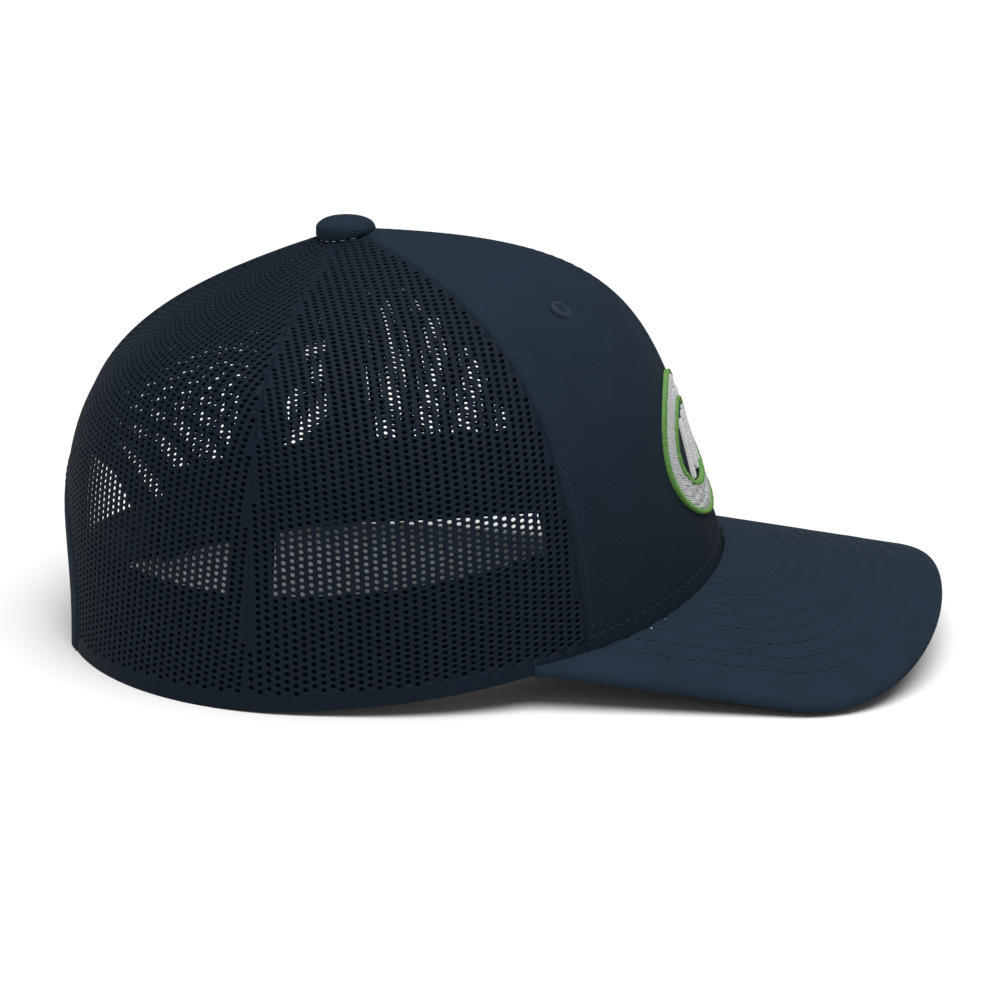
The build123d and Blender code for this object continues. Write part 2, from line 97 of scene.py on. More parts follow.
def crown(angle, t, depth=0.0):
    """Points on the crown, in millimetres."""
    r, z = profile(angle, t, depth)
    a = np.radians(angle)
    return np.stack([BUTTON_X + r * np.cos(a), r * np.sin(a), z + 0 * r], -1)


def t_at_rise(angle, rise):
    """Curve parameter at a height above the rim."""
    angle = np.asarray(angle, float)
    low, high = np.zeros(angle.shape), np.ones(angle.shape)
    goal = rim(angle)[1] + rise
    for _ in range(28):
        middle = (low + high) / 2
        above = profile(angle, middle)[1] > goal
        low, high = np.where(above, low, middle), np.where(above, middle, high)
    return high


def t_at_radius(angle, radius):
    """Curve parameter at a distance from the button axis."""
    angle = np.asarray(angle, float)
    low, high = np.full(angle.shape, 0.3), np.ones(angle.shape)
    for _ in range(28):
        middle = (low + high) / 2
        inside = profile(angle, middle)[0] < radius
        low, high = np.where(inside, low, middle), np.where(inside, middle, high)
    return high


def beside(seam, offset, t):
    """Angle of the point at a distance across from the plane of a seam."""
    angle = np.full(np.broadcast(offset, t).shape, float(seam))
    for _ in range(4):
        r = profile(angle, t)[0]
        angle = seam + np.degrees(np.arcsin(np.clip(offset / np.maximum(r, 0.1), -0.98, 0.98)))
    return angle


def outward(angle, t):
    """Unit normals of the crown."""
    n = crown(angle, t, -0.5) - crown(angle, t, 0.5)
    return n / np.linalg.norm(n, axis=-1, keepdims=True)


def by_plan(y, z, back):
    """Angle and curve parameter of the crown point at a sideways place and a height."""
    y, z = np.asarray(y, float), np.asarray(z, float)
    base = 180.0 if back else 0.0
    sign = -1.0 if back else 1.0
    angle = base + 0 * y
    for _ in range(9):
        t = t_at_rise(angle, z - rim(angle)[1])
        r = profile(angle, t)[0]
        angle = base + sign * np.degrees(np.arcsin(np.clip(y / np.maximum(r, 0.1), -0.99, 0.99)))
    return angle, t


# ---------------------------------------------------------------- mesh helpers
def make_object(name, points, faces, material, uv=None):
    """A smooth-shaded mesh object from millimetre points, quads or triangles, and UVs in mm."""
    mesh = bpy.data.meshes.new(name)
    mesh.from_pydata((np.asarray(points) * 0.001).tolist(), [], [list(f) for f in faces])
    mesh.validate()
    if uv is not None:
        layer = mesh.uv_layers.new(name="cloth")
        loops = np.zeros(len(mesh.loops), np.int32)
        mesh.loops.foreach_get("vertex_index", loops)
        layer.data.foreach_set("uv", np.asarray(uv, np.float32)[loops].ravel())
    mesh.polygons.foreach_set("use_smooth", [True] * len(mesh.polygons))
    mesh.materials.append(material)
    obj = bpy.data.objects.new(name, mesh)
    bpy.context.scene.collection.objects.link(obj)
    return obj


def grid_faces(nu, nv, start=0, flip=False, wrap=False):
    """Quads of a grid of nu by nv points."""
    i = np.arange(nu if wrap else nu - 1)[:, None]
    j = np.arange(nv - 1)[None, :]
    a = start + i * nv + j
    b = start + ((i + 1) % nu) * nv + j
    quads = np.stack([a, b, b + 1, a + 1], -1).reshape(-1, 4)
    return quads[:, ::-1] if flip else quads


def lengths(points):
    """Running length along the second axis of a grid of points."""
    step = np.linalg.norm(np.diff(points, axis=1), axis=-1)
    return np.concatenate([np.zeros((len(points), 1)), np.cumsum(step, axis=1)], axis=1)


def shell(name, outer, inner, material):
    """A closed sheet between two grids of points, with cloth UVs in mm."""
    nu, nv = outer.shape[:2]
    across = lengths(outer.transpose(1, 0, 2)).T
    across = across - across[nu // 2 : nu // 2 + 1]
    up = lengths(outer)
    uv = np.stack([across, up], -1).reshape(-1, 2)
    count = nu * nv
    faces = [grid_faces(nu, nv), grid_faces(nu, nv, count, flip=True)]
    ring = [(i, 0) for i in range(nu)] + [(nu - 1, j) for j in range(1, nv)]
    ring += [(i, nv - 1) for i in range(nu - 2, -1, -1)] + [(0, j) for j in range(nv - 2, 0, -1)]
    ids = np.array([i * nv + j for i, j in ring])
    nxt = np.roll(ids, -1)
    faces.append(np.stack([ids, ids + count, nxt + count, nxt], -1))
    points = np.concatenate([outer.reshape(-1, 3), inner.reshape(-1, 3)])
    quads = np.concatenate(faces)
    middle = (outer + inner) / 2
    cross = np.cross(
        middle[1:, :-1] - middle[:-1, :-1], middle[:-1, 1:] - middle[:-1, :-1]
    )
    side = np.sum(cross[nu // 2, nv // 2] * (outer - inner)[nu // 2, nv // 2])
    if side < 0:
        quads = quads[:, ::-1]
    obj = make_object(name, points, quads, material, np.concatenate([uv, uv]))
    flat = (float(np.ptp(across)), float(np.ptp(up)))
    area = float(np.linalg.norm(cross, axis=-1).sum())
    return obj, flat, area


def tube_ring(name, sections, material, closed=False):
    """A closed sweep through rings of points, sections as (n, m, 3)."""
    n, m = sections.shape[:2]
    ring = np.concatenate([sections, sections[:, :1]], axis=1)
    around = lengths(ring)
    along = lengths(ring.transpose(1, 0, 2)).T
    uv = np.stack([along, around], -1).reshape(-1, 2)
    faces = [tuple(f) for f in grid_faces(n, m + 1, wrap=closed)]
    if not closed:
        faces.append(tuple(range(m, -1, -1)))
        faces.append(tuple((n - 1) * (m + 1) + k for k in range(m + 1)))
    obj = make_object(name, ring.reshape(-1, 3), faces, material, uv)
    tidy(obj)
    return obj


def tidy(obj):
    """Merges double points and turns every face outwards."""
    bm = bmesh.new()
    bm.from_mesh(obj.data)
    bmesh.ops.remove_doubles(bm, verts=bm.verts, dist=1e-6)
    bmesh.ops.recalc_face_normals(bm, faces=bm.faces)
    bm.to_mesh(obj.data)
    bm.free()


def stitches(name, rows, material, pitch=3.0, length=2.3, width=0.42, height=0.3, lift=0.05):
    """Separate thread stitches along rows, each row a (points, normals) pair."""
    turn = np.linspace(0, 2 * np.pi, 7)[:-1]
    along = np.array([-1.0, -0.8, -0.35, 0.35, 0.8, 1.0])
    girth = np.array([0.25, 0.8, 1.0, 1.0, 0.8, 0.25])
    dip = np.array([-0.5, -0.12, 0.0, 0.0, -0.12, -0.5])
    points, faces, start = [], [], 0
    for line, normals in rows:
        walked = np.concatenate([[0], np.cumsum(np.linalg.norm(np.diff(line, axis=0), axis=1))])
        for s in np.arange(pitch / 2, walked[-1] - pitch / 2, pitch):
            s = s + RNG.uniform(-0.08, 0.08)
            at = np.array([np.interp(s, walked, line[:, k]) for k in range(3)])
            ahead = np.array([np.interp(s + 0.4, walked, line[:, k]) for k in range(3)])
            n = np.array([np.interp(s, walked, normals[:, k]) for k in range(3)])
            tangent = ahead - at
            tangent /= max(np.linalg.norm(tangent), 1e-9)
            n = n - tangent * (n @ tangent)
            n /= np.linalg.norm(n)
            across = np.cross(n, tangent)
            size = length * RNG.uniform(0.93, 1.05) / 2
            skew = RNG.uniform(-0.05, 0.05)
            for x, g, d in zip(along, girth, dip):
                centre = at + tangent * x * size + across * skew * x + n * (lift + d * height)
                for w in turn:
                    point = centre + across * (g * width / 2 * math.cos(w))
                    points.append(point + n * (g * height / 2 * math.sin(w)))
            for ring in range(5):
                for k in range(6):
                    a = start + ring * 6 + k
                    b = start + ring * 6 + (k + 1) % 6
                    faces.append((a, b, b + 6, a + 6))
            faces.append(tuple(start + k for k in range(5, -1, -1)))
            faces.append(tuple(start + 30 + k for k in range(6)))
            start += 36
    return make_object(name, points, faces, material)


# ---------------------------------------------------------------- materials
def node(tree, kind, **values):
    """A new shader node with its settings and input values."""
    item = tree.nodes.new(kind)
    for key, value in values.items():
        if hasattr(item, key) and key not in item.inputs:
            setattr(item, key, value)
        else:
            item.inputs[key.replace("_", " ")].default_value = value
    return item


def new_material(name, colour, roughness, sheen=0.0, specular=0.5):
    """A material whose constant values sit on the shader's own sockets."""
    material = bpy.data.materials.new(name)
    material.use_nodes = True
    shader = material.node_tree.nodes["Principled BSDF"]
    shader.inputs["Base Color"].default_value = (*colour, 1)
    shader.inputs["Roughness"].default_value = roughness
    shader.inputs["Specular IOR Level"].default_value = specular
    shader.inputs["Sheen Weight"].default_value = sheen
    shader.inputs["Sheen Roughness"].default_value = 0.45
    shader.inputs["Sheen Tint"].default_value = (0.75, 0.85, 1.0, 1)
    return material, shader


def woven(
    name, colour, pitch, angle, depth,
    roughness=0.9, sheen=0.0, contrast=0.22, specular=0.1, foot=1.0,
):
    """Cloth with diagonal or straight ribs, thread noise and slow random tone variation, on mm UVs, with
    painted shade darkening it towards the bottom when foot is below one.
    """
    material, shader = new_material(name, colour, roughness, sheen, specular)
    tree = material.node_tree
    link = tree.links.new
    uv = node(tree, "ShaderNodeUVMap")
    uv.uv_map = "cloth"
    turn = node(tree, "ShaderNodeMapping")
    turn.inputs["Rotation"].default_value = (0, 0, math.radians(angle))
    link(uv.outputs["UV"], turn.inputs["Vector"])
    ribs = node(tree, "ShaderNodeTexWave", wave_type="BANDS", bands_direction="X")
    ribs.inputs["Scale"].default_value = 0.31416 / pitch
    ribs.inputs["Distortion"].default_value = 0.6
    ribs.inputs["Detail"].default_value = 1.0
    ribs.inputs["Detail Scale"].default_value = 3.0
    link(turn.outputs["Vector"], ribs.inputs["Vector"])
    yarn = node(tree, "ShaderNodeTexWave", wave_type="BANDS", bands_direction="X")
    yarn.inputs["Scale"].default_value = 0.31416 / (pitch * 0.8)
    yarn.inputs["Distortion"].default_value = 0.4
    link(uv.outputs["UV"], yarn.inputs["Vector"])
    cloud = node(tree, "ShaderNodeTexNoise")
    cloud.inputs["Scale"].default_value = 0.09
    cloud.inputs["Detail"].default_value = 5.0
    link(uv.outputs["UV"], cloud.inputs["Vector"])
    fuzz = node(tree, "ShaderNodeTexNoise")
    fuzz.inputs["Scale"].default_value = 2.2
    fuzz.inputs["Detail"].default_value = 3.0
    link(uv.outputs["UV"], fuzz.inputs["Vector"])
    mixed = node(tree, "ShaderNodeMath", operation="MULTIPLY_ADD")
    mixed.inputs[1].default_value = 0.35
    link(yarn.outputs["Fac"], mixed.inputs[0])
    link(ribs.outputs["Fac"], mixed.inputs[2])
    grain = node(tree, "ShaderNodeMath", operation="MULTIPLY_ADD")
    grain.inputs[1].default_value = 0.5
    link(fuzz.outputs["Fac"], grain.inputs[0])
    link(mixed.outputs[0], grain.inputs[2])
    ramp = node(tree, "ShaderNodeMapRange")
    ramp.inputs["From Min"].default_value = 0.2
    ramp.inputs["From Max"].default_value = 1.6
    ramp.inputs["To Min"].default_value = 1 - contrast
    ramp.inputs["To Max"].default_value = 1 + contrast
    link(grain.outputs[0], ramp.inputs["Value"])
    shade = node(tree, "ShaderNodeMapRange")
    shade.inputs["From Min"].default_value = 0.3
    shade.inputs["From Max"].default_value = 0.7
    shade.inputs["To Min"].default_value = 0.93
    shade.inputs["To Max"].default_value = 1.07
    link(cloud.outputs["Fac"], shade.inputs["Value"])
    factor = node(tree, "ShaderNodeMath", operation="MULTIPLY")
    link(ramp.outputs["Result"], factor.inputs[0])
    link(shade.outputs["Result"], factor.inputs[1])
    # Painted shade: the colour is scaled from foot at the bottom of the UV height up to full at 105 mm,
    # so the lower cloth is painted darker.
    height = node(tree, "ShaderNodeSeparateXYZ")
    link(uv.outputs["UV"], height.inputs["Vector"])
    low = node(tree, "ShaderNodeMapRange")
    low.inputs["From Max"].default_value = 105.0
    low.inputs["To Min"].default_value = foot
    low.inputs["To Max"].default_value = 1.0
    link(height.outputs["Y"], low.inputs["Value"])
    painted_foot_shade = node(tree, "ShaderNodeMath", operation="MULTIPLY")
    link(factor.outputs[0], painted_foot_shade.inputs[0])
    link(low.outputs["Result"], painted_foot_shade.inputs[1])
    tint = node(tree, "ShaderNodeVectorMath", operation="SCALE")
    tint.inputs[0].default_value = colour
    link(painted_foot_shade.outputs[0], tint.inputs["Scale"])
    link(tint.outputs["Vector"], shader.inputs["Base Color"])
    bump = node(tree, "ShaderNodeBump")
    bump.inputs["Strength"].default_value = 0.8
    bump.inputs["Distance"].default_value = depth * 0.001
    link(grain.outputs[0], bump.inputs["Height"])
    link(bump.outputs["Normal"], shader.inputs["Normal"])
    return material


def grained(
    name, colour, roughness, scale, depth,
    contrast=0.15, sheen=0.0, specular=0.5, metallic=0.0,
):
    """Thread, plastic or metal with fine noise in object space."""
    material, shader = new_material(name, colour, roughness, sheen, specular)
    shader.inputs["Metallic"].default_value = metallic
    tree = material.node_tree
    link = tree.links.new
    place = node(tree, "ShaderNodeTexCoord")
    noise = node(tree, "ShaderNodeTexNoise")
    noise.inputs["Scale"].default_value = scale
    noise.inputs["Detail"].default_value = 4.0
    link(place.outputs["Object"], noise.inputs["Vector"])
    ramp = node(tree, "ShaderNodeMapRange")
    ramp.inputs["From Min"].default_value = 0.3
    ramp.inputs["From Max"].default_value = 0.7
    ramp.inputs["To Min"].default_value = 1 - contrast
    ramp.inputs["To Max"].default_value = 1 + contrast
    link(noise.outputs["Fac"], ramp.inputs["Value"])
    tint = node(tree, "ShaderNodeVectorMath", operation="SCALE")
    tint.inputs[0].default_value = colour
    link(ramp.outputs["Result"], tint.inputs["Scale"])
    link(tint.outputs["Vector"], shader.inputs["Base Color"])
    bump = node(tree, "ShaderNodeBump")
    bump.inputs["Strength"].default_value = 0.5
    bump.inputs["Distance"].default_value = depth * 0.001
    link(noise.outputs["Fac"], bump.inputs["Height"])
    link(bump.outputs["Normal"], shader.inputs["Normal"])
    return material


NAVY = (0.0112, 0.0214, 0.0345)
# The front twill has painted shade: foot=0.5 halves its colour at the bottom of each front panel.
FOOT_SHADED_TWILL = woven("navy_twill", NAVY, 0.75, 52, 0.05, contrast=0.2, foot=0.5)
VISOR_TWILL = woven("navy_twill_visor", NAVY, 0.75, 30, 0.05, contrast=0.2)
TAPE = woven("navy_tape", (0.0045, 0.0080, 0.0125), 0.7, 0, 0.04)
BAND = woven("band_cloth", (0.0050, 0.0085, 0.0130), 0.9, 45, 0.04)
LINING = woven("lining_cloth", (0.45, 0.45, 0.43), 0.8, 0, 0.08)
NET = grained("navy_net", (0.0028, 0.0090, 0.0172), 0.7, 900, 0.02, 0.2, 0.0, 0.12)
THREAD = grained("navy_thread", (0.0150, 0.0260, 0.0420), 0.7, 1500, 0.02, 0.15, 0.0, 0.2)
PLASTIC = grained("navy_plastic", (0.006, 0.010, 0.016), 0.42, 500, 0.01, 0.08, 0.0, 0.4)
METAL = grained("plated_metal", (0.55, 0.55, 0.56), 0.35, 400, 0.01, 0.05, 0.0, 0.5, 1.0)
BOARD = grained("board_plastic", (0.6, 0.6, 0.58), 0.6, 300, 0.02)
WHITE_THREAD = grained("white_satin_thread", (0.62, 0.63, 0.63), 0.5, 1200, 0.02, 0.08, 0.0, 0.4)
GREEN_THREAD = grained("green_satin_thread", (0.115, 0.275, 0.055), 0.55, 1200, 0.02, 0.15, 0.0, 0.4)


# ---------------------------------------------------------------- front panels
def bell(x, width):
    """Smooth bump of height one round zero."""
    return np.exp(-((x / width) ** 2))


def front_cloth(side):
    """Twill front panel, turned in at its seams and drawn down along its stitch rows."""
    word = "left" if side > 0 else "right"
    nu, nv = 118, 190
    angle = np.linspace(0, 1, nu)[:, None] * FRONT_SEAM + np.zeros((1, nv))
    end = t_at_radius(angle[:, 0], 3.0)[:, None]
    t = end * np.linspace(0, 1, nv)[None, :]
    r, z = profile(angle, t)
    rise = z - rim(angle)[1]
    middle_gap = r * np.sin(np.radians(angle))
    seam_gap = r * np.sin(np.radians(FRONT_SEAM - angle))
    up = lengths(crown(angle, t))
    depth = 0.75 * bell(seam_gap, 0.75) + 0.55 * bell(middle_gap, 0.55)
    ripple = 0.5 + 0.5 * np.sin(2 * np.pi * up / 2.9)
    fade = np.clip((r - 9) / 6, 0, 1)
    depth += fade * bell(seam_gap - 2.6, 0.8) * (0.10 + 0.08 * ripple)
    depth += fade * bell(middle_gap - 2.6, 0.8) * (0.07 + 0.06 * ripple) * (z > 76)
    walk = lengths(crown(angle, t).transpose(1, 0, 2)).T
    depth += bell(rise - 4.8, 0.9) * (0.10 + 0.08 * np.sin(2 * np.pi * walk / 2.9))
    depth += 0.25 * bell(rise, 0.6)
    soft = np.sin(up / 13.0 + 0.7) * np.sin(walk / 17.0 + 1.3)
    depth += 0.06 * soft * np.clip(middle_gap / 8, 0, 1) * np.clip(seam_gap / 8, 0, 1)
    outer = crown(side * angle, t, depth)
    inner = crown(side * angle, t, np.maximum(depth + 0.25, 1.0))
    # The front panels take the twill with painted shade, darker towards the rim.
    obj, flat, area = shell(f"front_cloth_{word}", outer, inner, FOOT_SHADED_TWILL)
    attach(obj, "cap")
    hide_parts(f"front_panel_{word}")
    return obj, flat, area


# ---------------------------------------------------------------- net panels
COLUMN, ROW = 2.45, 1.7


def net_panel(name, first, last, node_name, side, at_back):
    """Knitted net with staggered oval holes, cut to its panel and closed near the edges."""
    angles = np.linspace(first, last, 121)
    samples = np.linspace(0, 1, 241)
    ends = t_at_radius(angles, 3.0)
    grid_t = ends[:, None] * samples[None, :]
    grid = crown(angles[:, None], grid_t)
    across = lengths(grid.transpose(1, 0, 2)).T
    across = across - across[60][None, :]
    height = lengths(grid)[60]

    def place(u, v, depth):
        """Crown points for flat cloth coordinates, held inside the panel."""
        v = np.clip(v, 0, height[-1])
        k = np.interp(v, height, np.arange(len(samples)))
        k0 = np.clip(np.floor(k).astype(int), 0, len(samples) - 2)
        f = k - k0
        position = np.zeros_like(u)
        for which, weight in ((k0, 1 - f), (k0 + 1, f)):
            for value in np.unique(which):
                chosen = which == value
                position[chosen] += weight[chosen] * np.interp(
                    u[chosen], across[:, value], np.arange(len(angles))
                )
        angle = np.interp(position, np.arange(len(angles)), angles)
        end = np.interp(angle, angles, ends)
        t = end * np.interp(k, np.arange(len(samples)), samples)
        return angle, t, crown(side * angle, t, depth)

    def limits(v):
        """The cloth's half widths at a height."""
        k = np.interp(np.clip(v, 0, height[-1]), height, np.arange(len(samples)))
        low = np.interp(k, np.arange(len(samples)), across[0])
        high = np.interp(k, np.arange(len(samples)), across[-1])
        return low, high

    columns = int(np.ptp(across) / 2 / COLUMN) + 4
    rows = int(height[-1] / ROW) + 3
    i, j = np.meshgrid(np.arange(-columns, columns + 1), np.arange(-1, rows), indexing="ij")
    cu = (i * COLUMN).ravel()
    cv = (j * ROW + (i % 2) * ROW / 2 + 0.4).ravel()
    low, high = limits(cv)
    keep = (cu > low - 1.5) & (cu < high + 1.5) & (cv > -1.0) & (cv < height[-1] + 1.0)
    cu, cv, low, high = cu[keep], cv[keep], low[keep], high[keep]
    angle, t, here = place(cu, cv, 0.0)
    rise = here[:, 2] - rim(angle)[1]
    if at_back:
        y, z = here[:, 1], here[:, 2]
        straight = ARCH_HEIGHT - ARCH_HALF_WIDTH
        inside = np.where(
            z > straight, np.hypot(y, z - straight), np.abs(y)
        ) - ARCH_HALF_WIDTH
        keep = inside > 0.9
        cu, cv, low, high, rise, inside = (q[keep] for q in (cu, cv, low, high, rise, inside))
    else:
        inside = np.full(len(cu), 99.0)
    radius = profile(*place(cu, cv, 0.0)[:2])[0]
    open_cell = (cu > low + 1.0) & (cu < high - 1.0) & (rise > 4.5) & (radius > 7.5)
    open_cell &= inside > 5.0

    a = COLUMN / 2 + ROW**2 / (8 * COLUMN)
    b = COLUMN / 2 - ROW**2 / (8 * COLUMN)
    hexagon = np.array([(a, 0), (b, ROW / 2), (-b, ROW / 2), (-a, 0), (-b, -ROW / 2), (b, -ROW / 2)])
    turn = np.radians(np.arange(8) * 45.0)
    oval = np.stack([np.cos(turn), np.sin(turn)], -1)
    oval = np.sign(oval) * np.abs(oval) ** 0.85
    keys, corner_u, corner_v, corner_ids = {}, [], [], []
    for x, y in zip(cu, cv):
        ids = []
        for dx, dy in hexagon:
            key = (round((x + dx) * 50), round((y + dy) * 50))
            if key not in keys:
                keys[key] = len(corner_u)
                corner_u.append(x + dx)
                corner_v.append(y + dy)
            ids.append(keys[key])
        corner_ids.append(ids)
    corner_u, corner_v = np.array(corner_u), np.array(corner_v)
    n_corner = len(corner_u)
    wobble = RNG.normal(0, 0.035, (len(cu), 2))
    rings = []
    for half_u, half_v, depth in ((0.80, 0.62, 0.07), (0.62, 0.47, 0.38), (0.80, 0.62, 0.70)):
        grow = 1 + RNG.normal(0, 0.03, len(cu))
        u = cu[:, None] + wobble[:, :1] + oval[None, :, 0] * half_u * grow[:, None]
        v = cv[:, None] + wobble[:, 1:] + oval[None, :, 1] * half_v * grow[:, None]
        rings.append((u, v, depth))
    front = place(corner_u, corner_v, 0.0)[2]
    back = place(corner_u, corner_v, 0.78)[2]
    points = [front, back]
    base = 2 * n_corner
    which = np.flatnonzero(open_cell)
    order = {cell: k for k, cell in enumerate(which)}
    for u, v, depth in rings:
        points.append(place(u[which].ravel(), v[which].ravel(), depth)[2])
    per_ring = 8 * len(which)
    faces = []
    for cell in range(len(cu)):
        c = corner_ids[cell]
        if cell not in order:
            faces.append(tuple(c))
            faces.append(tuple(n_corner + q for q in reversed(c)))
            continue
        ring = [base + r * per_ring + order[cell] * 8 for r in range(3)]
        for lift, start, flip in ((0, ring[0], False), (n_corner, ring[2], True)):
            o = [start + k for k in range(8)]
            h = [lift + q for q in c]
            strip = [
                (h[0], h[1], o[1], o[0]),
                (h[1], o[2], o[1]),
                (h[1], h[2], o[2]),
                (h[2], o[3], o[2]),
                (h[2], h[3], o[4], o[3]),
                (h[3], h[4], o[5], o[4]),
                (h[4], o[6], o[5]),
                (h[4], h[5], o[6]),
                (h[5], o[7], o[6]),
                (h[5], h[0], o[0], o[7]),
            ]
            faces += [tuple(reversed(f)) if flip else f for f in strip]
        for r in range(2):
            for k in range(8):
                p, q = ring[r] + k, ring[r] + (k + 1) % 8
                faces.append((p, q, q + per_ring, p + per_ring))
    # walls round the outside of the cloth
    edges = {}
    for c in corner_ids:
        for k in range(6):
            edge = (c[k], c[(k + 1) % 6])
            edges[edge] = True
    for p, q in list(edges):
        if (q, p) not in edges:
            faces.append((q, p, p + n_corner, q + n_corner))
    points = np.concatenate(points)
    obj = make_object(name, points, faces, NET)
    tidy_flat(obj)
    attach(obj, "cap")
    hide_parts(node_name)
    cell_area = COLUMN * ROW * len(cu)
    return obj, (float(np.ptp(across)), float(height[-1])), cell_area


def tidy_flat(obj):
    """Removes the folded-over faces that an edge leaves, and turns faces outwards."""
    bm = bmesh.new()
    bm.from_mesh(obj.data)
    bmesh.ops.dissolve_degenerate(bm, dist=2e-5, edges=bm.edges)
    bmesh.ops.recalc_face_normals(bm, faces=bm.faces)
    bm.to_mesh(obj.data)
    bm.free()
    obj.data.polygons.foreach_set("use_smooth", [True] * len(obj.data.polygons))


# ---------------------------------------------------------------- layers inside the crown
def layer(name, angle, t, low, high, material, nodes, slot):
    """A thin closed layer at two depths over a grid of angles and parameters."""
    obj, flat, area = shell(name, crown(angle, t, low), crown(angle, t, high), material)
    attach(obj, "cap")
    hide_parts(*nodes)
    return obj, flat, area


def tape(name, seam, low_rise, node_name, top=3.2):
    """Tape of even width along a seam, with turned edges."""
    offset = np.linspace(-6.5, 6.5, 27)[:, None]
    start = float(t_at_rise(np.array([seam]), low_rise)[0])
    end = float(t_at_radius(np.array([seam]), top + 6.0)[0])
    t = np.linspace(start, end, 150)[None, :] + 0 * offset
    angle = beside(seam, offset + 0 * t, t)
    edge = 0.12 * bell(np.abs(offset) - 6.5, 0.8) + 0.1 * bell(np.abs(offset) - 5.2, 0.5)
    fold = 0.04 * np.sin(t * 190) * bell(np.abs(offset) - 5.2, 1.2)
    low = 1.8 + edge + 0 * t
    obj, _, _ = layer(
        name, angle, t, low, 2.3 - edge + fold, TAPE, [node_name], "hem_tape"
    )
    return obj


def band_shift(angle):
    """How much deeper the sweatband lies behind the strap ends."""
    step = np.clip((np.abs(angle) - 105.0) / 33.0, 0, 1)
    return 3.4 * step * step * (3 - 2 * step)


def sweat_band():
    """Soft band round the inside of the rim with a folded, stitched upper edge."""
    nu, nv = 420, 34
    angle = np.linspace(-149, 149, nu)[:, None] + np.zeros((1, nv))
    top = t_at_rise(angle[:, 0], 29.8)[:, None]
    low = t_at_rise(angle[:, 0], 0.35)[:, None]
    t = low + (top - low) * np.linspace(0, 1, nv)[None, :]
    rise = profile(angle, t)[1] - rim(angle)[1]
    shift = band_shift(angle)
    walk = lengths(crown(angle, t).transpose(1, 0, 2)).T
    groove = bell(rise - 26.8, 0.8) * (0.16 + 0.1 * np.sin(2 * np.pi * walk / 3.0))
    groove = groove + 0.35 * bell(rise - 29.8, 0.7) + 0.35 * bell(rise, 0.9)
    soft = 0.12 * np.sin(walk / 9.0) * np.sin(rise / 5.0 + walk / 31.0)
    obj, flat, area = shell(
        "sweat_band_cloth",
        crown(angle, t, 2.6 + shift + groove * 0.4),
        crown(angle, t, 3.72 + shift - groove - np.abs(soft)),
        BAND,
    )
    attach(obj, "cap")
    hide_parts("sweatband")
    return obj, flat, area


def row_on_crown(angle, t, depth):
    """Points and normals of a stitch row on the crown."""
    return crown(angle, t, depth), outward(angle, t)


# ---------------------------------------------------------------- visor
def visor_top(x, y):
    """Height of the visor's top face."""
    radius = 165.0 - 30.0 * (np.clip(32.0 - x, 0, 99) / 58.0) ** 2
    crest = 24.15 - 0.128 * (x - 63.6)
    return crest - (radius - np.sqrt(radius**2 - y * y))


def visor_curve(inset, s):
    """Plan points of the edge at an inset, s from 0 at the tip to 2 at the left tail."""
    tip, wide = 124.9 - inset, 81.8 - 0.5 * inset
    half, tail = 73.6 - inset, 75.0 - inset
    zero = 0 * inset
    nose = ((tip, zero), (tip, 0.65 * half), (wide + 0.61 * (tip - wide), half), (wide, half))
    back = ((wide, half), (wide - 5, half), (14.2 + zero, tail), (11.2 + zero, tail))
    t = np.where(s > 1, s - 1, s)
    w = ((1 - t) ** 3, 3 * (1 - t) ** 2 * t, 3 * (1 - t) * t**2, t**3)
    out = []
    for k in range(2):
        a = sum(q * p[k] for q, p in zip(w, nose))
        b = sum(q * p[k] for q, p in zip(w, back))
        out.append(np.where(s > 1, b, a))
    return out


def outside_rim(x, y):
    """Distance in plan outside the crown's rim, along the spoke from the button axis."""
    angle = np.degrees(np.arctan2(y, x - BUTTON_X))
    return np.hypot(x - BUTTON_X, y) - rim(angle)[0]


def visor_insets(s, gap):
    """The inset at which the edge's family of curves meets the rim."""
    low, high = np.zeros(s.shape), np.full(s.shape, 64.0)
    for _ in range(30):
        middle = (low + high) / 2
        x, y = visor_curve(middle, s)
        inside = outside_rim(x, y) < gap
        low, high = np.where(inside, low, middle), np.where(inside, middle, high)
    return low


FIRST_ROW, ROW_PITCH = 10.0, 4.9
ROW_INSETS = FIRST_ROW + ROW_PITCH * np.arange(8)
VISOR_THICKNESS = 3.2
# Added to the plan extent of a visor cover for its arch and its turned edge.
FLAT_ALLOWANCE = 5


def visor_relief(inset, walk):
    """How far the cloth is drawn in at its stitch rows, and how it puffs between them."""
    total = 0.0 * inset
    for k, row in enumerate(ROW_INSETS):
        wave = 0.5 + 0.5 * np.sin(2 * np.pi * walk / 3.3 + 1.9 * k)
        total = total + bell(inset - row, 0.42) * (0.20 + 0.10 * wave)
        total = total + bell(inset - row, 1.3) * (0.05 + 0.07 * wave)
    swell = np.cos(2 * np.pi * (inset - FIRST_ROW) / ROW_PITCH)
    inside = np.clip((inset - 8) / 3, 0, 1) * np.clip((46.5 - inset) / 3, 0, 1)
    total = total + 0.05 * swell * inside
    drift = np.sin(walk / 11.0 + inset / 7.0) * np.sin(inset / 4.1 + 0.4)
    return total + 0.03 * drift


